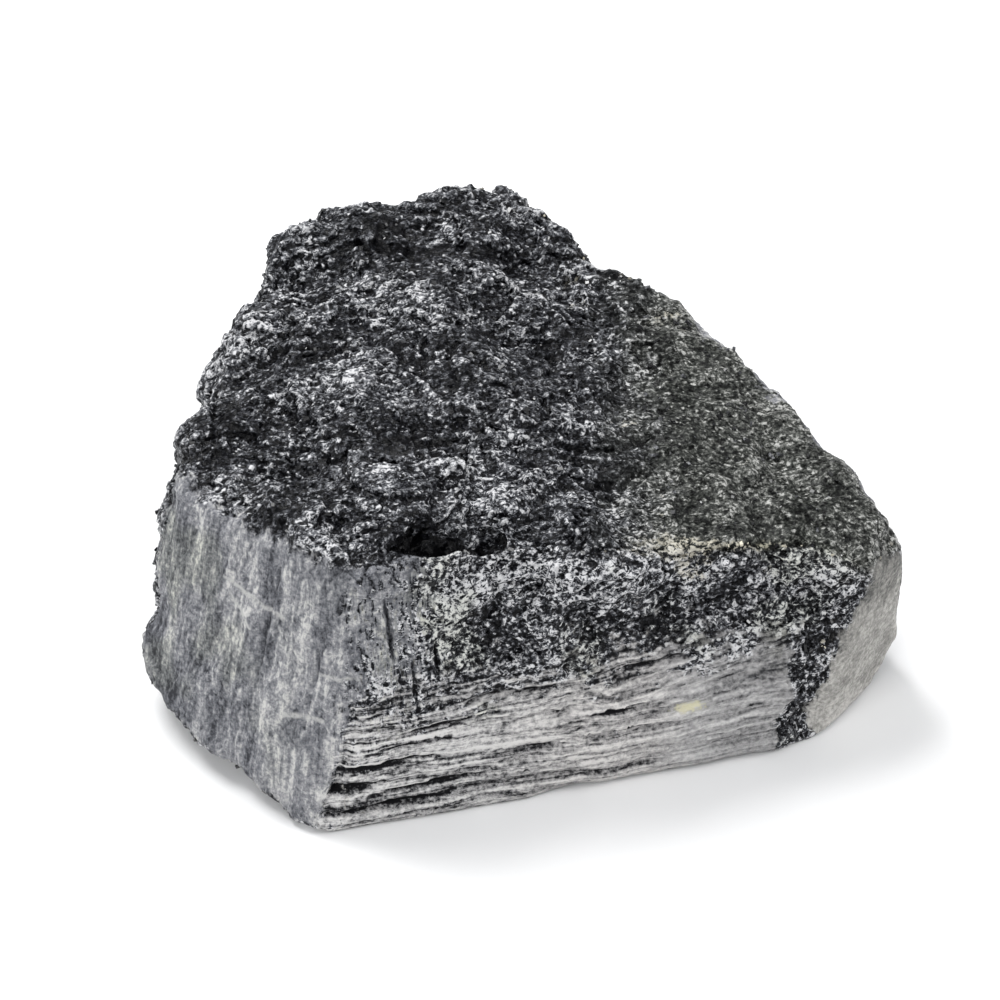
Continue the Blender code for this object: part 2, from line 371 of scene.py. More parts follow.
# Flat chips at random tilts, side by side, each at its own level: the height at a place
def tiltedCells(tree, place, lean=(2.0, 2.0, 2.0), level=0.5):
    cells = cellsAt(tree, place)
    away = vectorCalc(tree, "SUBTRACT", place, cells["Position"])
    tilt = vectorCalc(tree, "SUBTRACT", cells["Color"], (0.5, 0.5, 0.5))
    slope = vectorCalc(tree, "DOT_PRODUCT", vectorCalc(tree, "MULTIPLY", tilt, lean), away)
    own = times(tree, calc(tree, "SUBTRACT", split(tree, cells["Color"])[0], 0.5), level)
    return calc(tree, "ADD", slope, own)


# Scallops side by side with sharp ridges between them, as glass breaks
def scallops(tree, place):
    return calc(tree, "SUBTRACT", cellsAt(tree, place)["Distance"], 0.5)


def shareOf(tree, name):
    node = addNode(tree, "GeometryNodeInputNamedAttribute", data_type="FLOAT")
    node.inputs["Name"].default_value = name
    return node.outputs["Attribute"]


def newGeometryTree(name, settings):
    tree = bpy.data.node_groups.new(name, "GeometryNodeTree")
    tree.interface.new_socket("Geometry", in_out="INPUT", socket_type="NodeSocketGeometry")
    for label, value in settings.items():
        socket = tree.interface.new_socket(label, in_out="INPUT", socket_type="NodeSocketFloat")
        socket.default_value = value
    tree.interface.new_socket("Material", in_out="INPUT", socket_type="NodeSocketMaterial")
    tree.interface.new_socket("Geometry", in_out="OUTPUT", socket_type="NodeSocketGeometry")
    return tree, addNode(tree, "NodeGroupInput").outputs, addNode(tree, "NodeGroupOutput").inputs


def finishGeometryTree(tree, geometry, material, result):
    realize = addNode(tree, "GeometryNodeRealizeInstances")
    finish = addNode(tree, "GeometryNodeSetMaterial")
    feed(tree, realize.inputs["Geometry"], geometry)
    feed(tree, finish.inputs["Geometry"], realize.outputs["Geometry"])
    feed(tree, finish.inputs["Material"], material)
    feed(tree, result["Geometry"], finish.outputs["Geometry"])


# The tree that gives each kind of surface its own relief, pushed out along the normal
def makeReliefTree():
    tree, given, result = newGeometryTree("stoneRelief", reliefLook)
    metres = addNode(tree, "GeometryNodeInputPosition").outputs[0]
    place = vectorCalc(tree, "SCALE", metres, scale=1 / mm)
    drift = vectorCalc(tree, "SUBTRACT", noiseAt(tree, place, 3)["Color"], (0.5, 0.5, 0.5))
    bent = vectorCalc(tree, "ADD", place, vectorCalc(tree, "SCALE", drift, scale=0.9))

    def byPart(part, height):
        return times(tree, height, given[part + " Depth"])

    def inSize(part, stretch=(1, 1, 1), vector=bent):
        size = vectorCalc(tree, "SCALE", stretch, scale=given[part + " Size"])
        return vectorCalc(tree, "DIVIDE", vector, size)

    def longCells(part, alongAxis, vector=bent):
        sizes = [given[part + " Width"]] * 3
        sizes[alongAxis] = given[part + " Length"]
        sizes[1] = given[part + " Length"] if alongAxis == 0 else sizes[1]
        return byPart(part, tiltedCells(tree, vectorCalc(tree, "DIVIDE", vector, combine(tree, *sizes)),
                                        (0.3, 0.3, 1.8) if alongAxis == 0 else (1.8, 1.8, 0.3), 1.0))

    # hackly breaks: long chips, shards and grains at random tilts, on low steps
    leaning = tiltedCells(tree, inSize("Chip", (1.5, 1, 0.9), place))
    chips = total(tree, byPart("Chip", scallops(tree, inSize("Chip", (1.7, 1, 0.9)))),
                  byPart("Chip", times(tree, leaning, 0.5)),
                  byPart("Shard", tiltedCells(tree, inSize("Shard", (1.8, 1, 0.9)))),
                  byPart("Grain", tiltedCells(tree, inSize("Grain", (1.2, 1, 1), place))))
    reach = combine(tree, *[given["Step Reach"]] * 3)
    level = times(tree, noiseAt(tree, vectorCalc(tree, "DIVIDE", place, reach), 1)["Fac"], 9)
    tread = calc(tree, "ADD", calc(tree, "FLOOR", level), ramp(tree, calc(tree, "FRACT", level), 0.8, 1))
    steps = times(tree, calc(tree, "SUBTRACT", tread, 4.5), given["Step Height"])
    calmer = ramp(tree, shareOf(tree, "calm"), 0, 1, 1, 0.5)
    hackly = times(tree, total(tree, chips, steps), calmer)

    # striated prism sides: long ribs and lines along X, stepped against each other
    lines = total(tree, longCells("Rib", 0), longCells("Line", 0))
    striated = calc(tree, "ADD", lines, times(tree, hackly, 0.12))
    lined = shareOf(tree, "lined")
    hackly = times(tree, hackly, ramp(tree, lined, 0, 1, 1, 0.45))
    hackly = calc(tree, "ADD", hackly, times(tree, times(tree, lines, lined), 1.5))

    # dusty end faces: fibres and shallow flutes that run down them, and a soft unevenness
    wide, long = given["Flute Width"], given["Flute Length"]
    flutes = byPart("Flute", times(tree, unrest(tree, place, combine(tree, wide, wide, long)), 3))
    bumps = byPart("Bump", tiltedCells(tree, inSize("Bump"), level=0.2))
    dusty = total(tree, longCells("Fibre", 2), flutes, bumps, times(tree, hackly, 0.14))

    # pale facet: nearly flat
    pale = calc(tree, "ADD", times(tree, bumps, 0.7), times(tree, hackly, 0.05))

    height = None
    for kind, relief in (("hackly", hackly), ("striated", striated), ("dusty", dusty), ("pale", pale)):
        part = times(tree, shareOf(tree, kind), relief)
        height = part if height is None else calc(tree, "ADD", height, part)
    cut = times(tree, shareOf(tree, "cut"), given["Cut Depth"])
    worn = times(tree, shareOf(tree, "edge"), given["Edge Wear"])
    worn = times(tree, worn, ramp(tree, unrest(tree, place, (1.6, 1.6, 1.6), 3), -0.2, 0.2))
    height = calc(tree, "SUBTRACT", height, total(tree, cut, worn))
    height = times(tree, height, mm)
    outwards = addNode(tree, "GeometryNodeInputNormal").outputs[0]

    move = addNode(tree, "GeometryNodeSetPosition")
    feed(tree, move.inputs["Geometry"], given["Geometry"])
    feed(tree, move.inputs["Offset"], vectorCalc(tree, "SCALE", outwards, scale=height))
    finishGeometryTree(tree, move.outputs["Geometry"], given["Material"], result)
    return tree


def addNodesModifier(obj, tree, values):
    modifier = obj.modifiers.new(tree.name, "NODES")
    modifier.node_group = tree
    for item in tree.interface.items_tree:
        if item.in_out == "INPUT" and item.name in values:
            modifier[item.identifier] = values[item.name]


def keepInBox(mesh):
    low, high = (np.array(corner) for corner in cadBox)
    setPoints(mesh, np.clip(pointsOf(mesh), low, high))


def makeStone(material):
    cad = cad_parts["crystal"]
    mesh = cad.data.copy()
    merged = bmesh.new()
    merged.from_mesh(mesh)
    bmesh.ops.remove_doubles(merged, verts=merged.verts, dist=0.001 * mm)
    merged.to_mesh(mesh)
    merged.free()
    stone = bpy.data.objects.new("crystal_surface", mesh)
    bpy.context.scene.collection.objects.link(stone)

    remesh = stone.modifiers.new("squares", "REMESH")
    remesh.mode = "VOXEL"
    remesh.voxel_size = stoneLook["remesh"] * mm
    takeMesh(stone, evaluatedMesh(stone))
    for polygon in stone.data.polygons:
        polygon.use_smooth = True
    markSurfaces(stone.data)
    print("stone: remeshed,", len(stone.data.polygons), "squares")

    addNodesModifier(stone, makeReliefTree(), {**reliefLook, "Material": material})
    takeMesh(stone, evaluatedMesh(stone))
    keepInBox(stone.data)

    decimate = stone.modifiers.new("fewer", "DECIMATE")
    decimate.ratio = stoneLook["triangles"] / (2 * len(stone.data.polygons))
    takeMesh(stone, evaluatedMesh(stone))
    keepInBox(stone.data)
    markSurfaces(stone.data)
    markCrests(stone.data)
    hackly = np.empty(len(stone.data.vertices), dtype=np.float32)
    stone.data.attributes["hackly"].data.foreach_get("value", hackly)
    for polygon in stone.data.polygons:
        polygon.use_smooth = bool(hackly[polygon.vertices[0]] < 0.5)
    print("stone: carved,", len(stone.data.polygons), "triangles")
    return stone


# Angular grains that stand out of the broken faces; sizes in mm, and how many lie on a square mm
grainLook = {
    "Grains": 2.4,
    "Smallest": 0.12,
    "Largest": 0.36,
    "Tilt": 0.9,
}


def makeGrainTree():
    tree, given, result = newGeometryTree("standingGrains", grainLook)
    place = vectorCalc(tree, "SCALE", addNode(tree, "GeometryNodeInputPosition").outputs[0], scale=1 / mm)
    patches = ramp(tree, unrest(tree, place, (2.2, 1.6, 1.4), 4, 0.6), -0.06, 0.12)
    wanted = times(tree, ramp(tree, shareOf(tree, "hackly"), 0.4, 0.9), patches)
    wanted = times(tree, wanted, ramp(tree, shareOf(tree, "edge"), 0.2, 0.7, 1, 2))
    wanted = times(tree, wanted, ramp(tree, shareOf(tree, "cut"), 0.3, 0.1))
    scatter = addNode(tree, "GeometryNodeDistributePointsOnFaces", distribute_method="RANDOM")
    feed(tree, scatter.inputs["Mesh"], given["Geometry"])
    feed(tree, scatter.inputs["Density"],
         times(tree, times(tree, wanted, given["Grains"]), 1 / mm ** 2))
    scatter.inputs["Seed"].default_value = 7

    def chance(kind, low, high, seed):
        node = addNode(tree, "FunctionNodeRandomValue", data_type=kind)
        sockets = [socket for socket in node.inputs if socket.enabled]
        feed(tree, sockets[0], low)
        feed(tree, sockets[1], high)
        node.inputs["Seed"].default_value = seed
        return [socket for socket in node.outputs if socket.enabled][0]

    grain = addNode(tree, "GeometryNodeMeshCube")
    turn = addNode(tree, "FunctionNodeRotateRotation")
    feed(tree, turn.inputs["Rotation"], scatter.outputs["Rotation"])
    tilt = chance("FLOAT_VECTOR", (-1, -1, -3.5), (1, 1, 3.5), 1)
    feed(tree, turn.inputs["Rotate By"], vectorCalc(tree, "SCALE", tilt, scale=given["Tilt"]))
    size = calc(tree, "POWER", chance("FLOAT", 0.0, 1.0, 2), 2.2)
    size = ramp(tree, size, 0, 1, given["Smallest"], given["Largest"], smooth=False)
    shape = vectorCalc(tree, "SCALE", chance("FLOAT_VECTOR", (0.7, 0.4, 0.3), (1.4, 0.9, 0.7), 3),
                       scale=times(tree, size, mm))
    instances = addNode(tree, "GeometryNodeInstanceOnPoints")
    feed(tree, instances.inputs["Points"], scatter.outputs["Points"])
    feed(tree, instances.inputs["Instance"], grain.outputs["Mesh"])
    feed(tree, instances.inputs["Rotation"], turn.outputs["Rotation"])
    feed(tree, instances.inputs["Scale"], shape)
    tone = addNode(tree, "GeometryNodeStoreNamedAttribute", data_type="FLOAT", domain="INSTANCE")
    tone.inputs["Name"].default_value = "grainTone"
    feed(tree, tone.inputs["Geometry"], instances.outputs["Instances"])
    feed(tree, [socket for socket in tone.inputs if socket.name == "Value" and socket.enabled][0],
         chance("FLOAT", 0.0, 1.0, 4))
    finishGeometryTree(tree, tone.outputs["Geometry"], given["Material"], result)
    return tree


def makeGrains(stone, material):
    grains = bpy.data.objects.new("crystal_grains", stone.data.copy())
    bpy.context.scene.collection.objects.link(grains)
    addNodesModifier(grains, makeGrainTree(), {**grainLook, "Material": material})
    takeMesh(grains, evaluatedMesh(grains))
    keepInBox(grains.data)
    print("grains: standing,", len(grains.data.polygons), "faces")
    return grains


# Shader groups: the effects that the stone's finish is put together from
def newShaderGroup(name, inputs, outputs):
    tree = bpy.data.node_groups.new(name, "ShaderNodeTree")
    for label, value in inputs.items():
        kind = "NodeSocketVector" if isinstance(value, tuple) else "NodeSocketFloat"
        socket = tree.interface.new_socket(label, in_out="INPUT", socket_type=kind)
        if not isinstance(value, tuple):
            socket.default_value = value
    for label, kind in outputs.items():
        tree.interface.new_socket(label, in_out="OUTPUT", socket_type=kind)
    return tree, addNode(tree, "NodeGroupInput").outputs, addNode(tree, "NodeGroupOutput").inputs


def useGroup(tree, group, values):
    node = addNode(tree, "ShaderNodeGroup", node_tree=group)
    for label, value in values.items():
        feed(tree, node.inputs[label], value)
    return node.outputs


# Flat mirror-like grains at random tilts, in two sizes; each small one has its own chance, Grain
def makeGlitterGroup():
    inputs = {"Place": (0, 0, 0), "Size": 1.0, "Tilt": 0.5}
    outputs = {"Normal": "NodeSocketVector", "Grain": "NodeSocketFloat"}
    tree, given, result = newShaderGroup("grainGlitter", inputs, outputs)
    normal = addNode(tree, "ShaderNodeNewGeometry").outputs["Normal"]
    drift = noiseAt(tree, vectorCalc(tree, "SCALE", given["Place"], scale=1.6), 0)["Color"]
    drift = vectorCalc(tree, "SUBTRACT", drift, (0.5, 0.5, 0.5))
    bent = vectorCalc(tree, "ADD", given["Place"], vectorCalc(tree, "SCALE", drift, scale=0.9))
    bent = vectorCalc(tree, "DIVIDE", bent, (1.6, 1.0, 0.9))
    for share, tiltShare in ((1.0, 1.0), (0.42, 0.8)):
        scale = calc(tree, "DIVIDE", 1 / share, given["Size"])
        cells = cellsAt(tree, vectorCalc(tree, "SCALE", bent, scale=scale))
        tilt = vectorCalc(tree, "SUBTRACT", cells["Color"], (0.5, 0.5, 0.5))
        tilt = vectorCalc(tree, "SCALE", tilt, scale=times(tree, given["Tilt"], tiltShare))
        normal = vectorCalc(tree, "ADD", normal, tilt)
    feed(tree, result["Grain"], split(tree, cells["Color"])[1])
    feed(tree, result["Normal"], vectorCalc(tree, "NORMALIZE", normal))
    return tree


# The broken texture of the mineral: thin pale threads, and angular flecks that are partly pale specks of
# the mineral and partly painted glints, thick here and thin there
def makeTextureGroup():
    inputs = {"Place": (0, 0, 0), "Size": 1.0, "Amount": 0.5}
    outputs = {"Threads": "NodeSocketFloat", "Flecks": "NodeSocketFloat", "Haze": "NodeSocketFloat"}
    tree, given, result = newShaderGroup("brokenTexture", inputs, outputs)
    drift = noiseAt(tree, vectorCalc(tree, "SCALE", given["Place"], scale=2.2), 0)["Color"]
    drift = vectorCalc(tree, "SUBTRACT", drift, (0.5, 0.5, 0.5))
    place = vectorCalc(tree, "ADD", given["Place"], vectorCalc(tree, "SCALE", drift, scale=0.5))
    place = vectorCalc(tree, "SCALE", place, scale=calc(tree, "DIVIDE", 1, given["Size"]))
    haze = total(tree, unrest(tree, place, (6.0, 4.0, 4.0), 1),
                 unrest(tree, place, (2.2, 1.5, 1.4), 3, 0.65))
    feed(tree, result["Haze"], haze)
    amount = calc(tree, "ADD", given["Amount"], times(tree, haze, 0.6))
    threads = None
    for size, width in (((1.4, 0.9, 0.8), 0.045), ((0.62, 0.42, 0.4), 0.075)):
        curve = calc(tree, "ABSOLUTE", unrest(tree, place, size, 2.5, 0.6))
        thin = times(tree, ramp(tree, curve, width, 0.0), ramp(tree, amount, 0.2, 0.65))
        threads = thin if threads is None else calc(tree, "MAXIMUM", threads, thin)
    feed(tree, result["Threads"], threads)
    flecks = None
    for size, rare in (((0.6, 0.42, 0.38), 0.72), ((0.33, 0.25, 0.24), 0.72)):
        cells = cellsAt(tree, vectorCalc(tree, "DIVIDE", place, size), distance="MANHATTAN")
        picked = calc(tree, "ADD", split(tree, cells["Color"])[0], times(tree, haze, 0.5))
        inside = ramp(tree, cells["Distance"], 0.52, 0.36)
        fleck = times(tree, ramp(tree, picked, rare, rare + 0.12), inside)
        flecks = fleck if flecks is None else calc(tree, "MAXIMUM", flecks, fleck)
    feed(tree, result["Flecks"], flecks)
    return tree


# Fibres and lines: noise drawn out in one direction, as (length, depth, width) in mm, in three sizes
def makeFibreGroup():
    inputs = {"Place": (0, 0, 0), "Stretch": (1, 1, 1), "Width": 0.3}
    outputs = {"Fine": "NodeSocketFloat", "Broad": "NodeSocketFloat", "Thread": "NodeSocketFloat"}
    tree, given, result = newShaderGroup("drawnFibres", inputs, outputs)
    place = vectorCalc(tree, "DIVIDE", given["Place"], given["Stretch"])
    bend = times(tree, unrest(tree, given["Place"], (7.0, 7.0, 7.0), 1), 1.2)
    place = vectorCalc(tree, "ADD", place, combine(tree, bend, bend, bend))
    place = vectorCalc(tree, "SCALE", place, scale=calc(tree, "DIVIDE", 1, given["Width"]))
    feed(tree, result["Fine"], unrest(tree, place, (1, 1, 1), 2, 0.7))
    feed(tree, result["Broad"], unrest(tree, place, (4.5, 4.5, 4.5), 2, 0.6))
    curve = calc(tree, "ABSOLUTE", unrest(tree, place, (2.6, 2.6, 2.6), 1, 0.5))
    feed(tree, result["Thread"], ramp(tree, curve, 0.04, 0.0))
    return tree


# A colour by tone: stops of (tone, colour) from dark to light
def byTone(tree, value, stops):
    node = addNode(tree, "ShaderNodeValToRGB")
    elements = node.color_ramp.elements
    while len(elements) < len(stops):
        elements.new(0.5)
    for element, (position, colour) in zip(elements, stops):
        element.position = position
        element.color = colour
    feed(tree, node.inputs[0], value)
    return node.outputs["Color"]


def mixColour(tree, share, first, second, blend="MIX"):
    node = addNode(tree, "ShaderNodeMix", data_type="RGBA", blend_type=blend)
    feed(tree, node.inputs[0], share)
    feed(tree, node.inputs[6], first)
    feed(tree, node.inputs[7], second)
    return node.outputs[2]


def mixValue(tree, share, first, second):
    node = addNode(tree, "ShaderNodeMix", data_type="FLOAT")
    feed(tree, node.inputs[0], share)
    feed(tree, node.inputs[2], first)
    feed(tree, node.inputs[3], second)
    return node.outputs[0]


# Colours by tone on each kind of surface, from dark to light
stoneTones = {
    "hackly": ((0.0, (0.0015, 0.0015, 0.002, 1)), (0.28, (0.007, 0.0072, 0.009, 1)),
               (0.5, (0.05, 0.052, 0.059, 1)), (0.75, (0.2, 0.205, 0.218, 1)),
               (1.0, (0.6, 0.6, 0.61, 1))),
    "calm": ((0.0, (0.003, 0.003, 0.003, 1)), (0.35, (0.026, 0.028, 0.025, 1)),
             (0.7, (0.11, 0.113, 0.102, 1)), (1.0, (0.4, 0.4, 0.38, 1))),
    "dusty": ((0.0, (0.035, 0.036, 0.042, 1)), (0.35, (0.13, 0.134, 0.148, 1)),
              (0.65, (0.26, 0.262, 0.275, 1)), (1.0, (0.52, 0.515, 0.5, 1))),
    "striated": ((0.0, (0.004, 0.004, 0.005, 1)), (0.22, (0.06, 0.06, 0.063, 1)),
                 (0.5, (0.27, 0.267, 0.268, 1)), (0.75, (0.43, 0.424, 0.422, 1)),
                 (1.0, (0.62, 0.61, 0.6, 1))),
    "pale": ((0.0, (0.09, 0.09, 0.086, 1)), (0.45, (0.3, 0.293, 0.275, 1)), (1.0, (0.66, 0.64, 0.61, 1))),
}
stoneStains = {
    "cream": (0.6, 0.56, 0.45, 1),
    "sulphur": (0.6, 0.57, 0.39, 1),
    "beige": (1.0, 0.986, 0.975, 1),
    "moss": (0.98, 1.0, 0.86, 1),
    "scratch": (0.42, 0.42, 0.41, 1),
    "seat": (0.09, 0.09, 0.093, 1),
}

# How light each kind of surface is: a base tone, and how much each mark or texture adds to it
# cut weights: the deep cuts, grooves, creases and notch painted darker as painted shade
# fineCrest weights: ridges painted lighter, partly pale powder and partly painted highlight; hollows
# painted darker as painted shade
toneWeights = {
    # front weight: the broken front painted lighter as painted light, for the less light it gets
    "hackly": (0.16, {"fineCrest": 3.0, "front": 0.085, "edge": 0.05, "cut": -1.2, "chipped": -0.14}),
    "rough": (0, {"grit": 2.4, "threads": 0.52, "flecks": 0.48}),
    "streaked": (0.04, {"lineFine": 2.2, "lineBroad": 1.8}),
    "fibrous": (0.07, {"fibreFine": 1.8}),
    "calm": (0.31, {"haze": 0.5, "fineCrest": 2.4, "grit": 2.8, "threads": 0.4, "flecks": 0.5}),
    "dusty": (0.47, {"fibreFine": 1.0, "fibreBroad": 1.6, "grit": 1.4, "fibreThread": 0.16, "haze": 0.3,
                     "fineCrest": 2.0, "threads": 0.12, "edge": 0.1, "corner": -0.12, "cut": -1}),
    "striated": (0, {"lineFine": 2.0, "lineBroad": 1.2, "grit": 1.5, "fineCrest": 2.0}),
    "pale": (0, {"clouds": 1.4, "grit": 1.3, "fineCrest": 1.2}),
}

# What a user would change on the stone's finish; sizes in mm
stoneFinish = {
    "glitterSize": 0.75,
    "glitterTilt": 0.9,
    "textureSize": 1.15,
    "textureAmount": 0.5,
    "gritSize": (0.32, 0.28, 0.28),
    "cloudSize": (2.4, 2.4, 2.0),
    "fibreStretch": (1, 1, 6),  # the fibres run down the end faces
    "fibreWidth": 0.3,
    "lineStretch": (26, 26, 1),  # the growth lines run round the stone at one height
    "lineWidth": 0.32,
    "lineRise": 0.12,  # how much the lines climb to the right above the band
    "seatUpTo": (0.15, 0.45),  # heights between which the seat's grey gives way to broken walls
    "calmAmount": 0.9,
    "creamAmount": 0.6,
    "scratchWidth": 0.12,
    "breakRoughness": (0.12, 0.5),  # of the glossiest and the dullest grains of the break
    "grainRoughness": (0.12, 0.45),
    "dustRoughness": 0.75,
    "bumpStrength": 0.7,
    "bumpDepth": 0.14,
    "refraction": 1.63,
    "specular": 0.09,
}
stoneScratches = (
    # both ends of each pale scratch on the end face, in mm
    ((-19.6, -10.2, 13.7), (-16.9, -14.6, 13.4)),
    ((-19.4, -10.9, 12.9), (-18.3, -12.8, 11.6)),
    ((-15.6, -17.6, 11.1), (-13.4, -19.2, 11.6)),
    ((-16.6, -16.2, 7.2), (-14.8, -18.3, 8.0)),
)
sulphurPatch = ((8.0, -20.5, 5.6), (0.95, 1.5, 0.42))  # its middle and half sizes in mm


def attributeOf(tree, name):
    return addNode(tree, "ShaderNodeAttribute", attribute_name=name).outputs["Fac"]


# All that the stone's finish is mixed from: places in mm, marks stored on the surface, and textures
def gatherMarks(tree):
    coordinates = addNode(tree, "ShaderNodeTexCoord").outputs["Object"]
    place = vectorCalc(tree, "SCALE", coordinates, scale=1 / mm)
    x, y, z = split(tree, place)
    texture = useGroup(tree, makeTextureGroup(), {
        "Place": place, "Size": stoneFinish["textureSize"], "Amount": stoneFinish["textureAmount"]})
    fibreGroup = makeFibreGroup()
    fibres = useGroup(tree, fibreGroup, {
        "Place": place, "Stretch": stoneFinish["fibreStretch"], "Width": stoneFinish["fibreWidth"]})
    rising = times(tree, times(tree, x, ramp(tree, z, 5, 9)), stoneFinish["lineRise"])
    growth = combine(tree, x, y, calc(tree, "SUBTRACT", z, rising))
    lines = useGroup(tree, fibreGroup, {
        "Place": growth, "Stretch": stoneFinish["lineStretch"], "Width": stoneFinish["lineWidth"]})
    stored = {name: attributeOf(tree, name) for name in (*surfaceKinds, *surfaceMarks)}
    return {
        **stored, "place": place, "x": x, "y": y, "z": z,
        "threads": texture["Threads"], "flecks": texture["Flecks"], "haze": texture["Haze"],
        "fibreFine": fibres["Fine"], "fibreBroad": fibres["Broad"], "fibreThread": fibres["Thread"],
        "lineFine": lines["Fine"], "lineBroad": lines["Broad"],
        "grit": unrest(tree, place, stoneFinish["gritSize"], 3, 0.7),
        "clouds": unrest(tree, place, stoneFinish["cloudSize"], 4, 0.7),
    }


# Makes the borders between the kinds of surface ragged, drawn out along the fibres
def roughenBorders(tree, marks):
    torn = unrest(tree, marks["place"], (0.9, 0.8, 1.6), 3, 0.7)
    drawnOut = times(tree, marks["fibreFine"], total(tree, times(tree, marks["corner"], 1.6), 0.5))
    ragged = total(tree, times(tree, torn, 1.3), drawnOut)
    streaks = times(tree, times(tree, marks["lineFine"], marks["lined"]), 1.4)
    marks["striated"] = total(tree, times(tree, marks["striated"], 0.6),
                              times(tree, marks["lined"], 0.45), streaks)
    for kind in surfaceKinds:
        marks[kind] = ramp(tree, calc(tree, "ADD", marks[kind], ragged), 0.36, 0.64)
    foot = times(tree, marks["seat"], ramp(tree, marks["z"], *stoneFinish["seatUpTo"]))
    marks["hackly"] = calc(tree, "MAXIMUM", marks["hackly"], foot)
    marks["seat"] = calc(tree, "SUBTRACT", marks["seat"], foot)


def toneOf(tree, marks, kind):
    base, weights = toneWeights[kind]
    return total(tree, base, *[times(tree, marks[name], weight) for name, weight in weights.items()])


# Black glassy break: pale threads and flecks on black, coarse ridges painted lighter as painted highlight
# and hollows darker as painted shade, streaked near the band
def breakTone(tree, marks):
    haze = times(tree, marks["haze"], ramp(tree, marks["front"], 0, 1, 0.45, 0.3))
    rough = times(tree, toneOf(tree, marks, "rough"), ramp(tree, marks["front"], 0, 1, 1, 1.35))
    crestHighlightAndHollowShade = times(tree, calc(tree, "MINIMUM", marks["coarseCrest"], 0.2), 0.35)
    streaked = times(tree, marks["lined"], toneOf(tree, marks, "streaked"))
    nearCorner = times(tree, marks["front"], ramp(tree, marks["x"], -1, -9))
    fibrous = times(tree, nearCorner, toneOf(tree, marks, "fibrous"))
    return total(tree, toneOf(tree, marks, "hackly"), haze, rough, crestHighlightAndHollowShade, streaked, fibrous)


# Dusty end faces: grey-blue with fine fibres running down, painted darker towards the far end as painted
# shade of the facet that turns away, and darker towards the top
def dustyTone(tree, marks):
    return total(tree, toneOf(tree, marks, "dusty"), ramp(tree, marks["x"], -19, -24, 0, -0.2),
                 ramp(tree, marks["z"], 12, 18, 0, -0.06))


# Striated band: long pale lines over dark ones, smoother to the right, darker above and behind, with
# painted shade in its grooves
def bandTone(tree, marks):
    x, y, z = marks["x"], marks["y"], marks["z"]
    strength = calc(tree, "SUBTRACT", ramp(tree, x, -12, 2, 1.4, 1.05), ramp(tree, x, 3, 9, 0, 0.45))
    lines = times(tree, toneOf(tree, marks, "striated"), strength)
    return total(tree, lines, ramp(tree, x, -14, 2, 0.54, 0.67), ramp(tree, x, 6, 14, 0, -0.14),
                 ramp(tree, z, 5, 9, 0, -0.2), ramp(tree, y, 0, 10, 0, -0.1),
                 times(tree, marks["cut"], -1.6))


# Pale facet: beige-grey film with darker clouds, painted lighter low down as painted bounce light from the
# floor
def facetTone(tree, marks):
    return calc(tree, "ADD", toneOf(tree, marks, "pale"), ramp(tree, marks["z"], 12, 3, 0.18, 0.58))


# Cream grains along the crest at the right
def creamShare(tree, marks):
    grainy = ramp(tree, total(tree, marks["crest"], times(tree, marks["haze"], 2.4)), 0.4, 0.75)
    between = times(tree, ramp(tree, marks["x"], 3, 10), ramp(tree, marks["x"], 16, 13))
    high = ramp(tree, marks["z"], 8, 11)
    single = ramp(tree, total(tree, marks["grit"], times(tree, marks["threads"], 0.1)), 0.0, 0.08)
    return times(tree, times(tree, grainy, between), times(tree, high, single))


# A greenish tint in patches, on the broken front and at the far end of the end face
def mossShare(tree, marks):
    onFront = times(tree, times(tree, marks["front"], marks["hackly"]), 0.5)
    onEnd = times(tree, marks["dusty"], ramp(tree, marks["x"], -17, -21, 0.1, 0.55))
    patches = ramp(tree, unrest(tree, marks["place"], (5.0, 4.0, 6.0), 1), 0.02, 0.14)
    return times(tree, total(tree, onFront, onEnd), patches)


# Pale scratches on the end face, measured flat on it so that the relief doesn't break them
def scratchShare(tree, marks):
    width = stoneFinish["scratchWidth"]
    waver = times(tree, unrest(tree, marks["place"], (1.2, 1.2, 1.2), 1), 0.6)
    wavy = vectorCalc(tree, "ADD", marks["place"], combine(tree, 0, 0, waver))
    outwards = tuple(Vector(stoneSides["leftContact"][0]).normalized())
    scratched = None
    for start, end in stoneScratches:
        line = Vector(end) - Vector(start)
        past = vectorCalc(tree, "SUBTRACT", wavy, start)
        reached = vectorCalc(tree, "DOT_PRODUCT", past, tuple(line / line.length_squared))
        reached = calc(tree, "MAXIMUM", calc(tree, "MINIMUM", reached, 1.0), 0.0)
        away = vectorCalc(tree, "SUBTRACT", past, vectorCalc(tree, "SCALE", tuple(line), scale=reached))
        above = vectorCalc(tree, "DOT_PRODUCT", away, outwards)
        away = vectorCalc(tree, "SUBTRACT", away, vectorCalc(tree, "SCALE", outwards, scale=above))
        mark = ramp(tree, vectorCalc(tree, "LENGTH", away), 2 * width, 0.5 * width)
        mark = times(tree, mark, ramp(tree, calc(tree, "ABSOLUTE", above), 1.5, 1.0))
        scratched = mark if scratched is None else calc(tree, "MAXIMUM", scratched, mark)
    return times(tree, scratched, ramp(tree, marks["grit"], -0.2, 0.1, 0.3, 0.9))


# One small yellow patch on the band
def sulphurShare(tree, marks):
    middle, half = sulphurPatch
    spread = vectorCalc(tree, "DIVIDE", vectorCalc(tree, "SUBTRACT", marks["place"], middle), half)
    spread = calc(tree, "ADD", vectorCalc(tree, "LENGTH", spread), times(tree, marks["grit"], 2.5))
    return ramp(tree, spread, 1.3, 0.5, 0, 0.8)


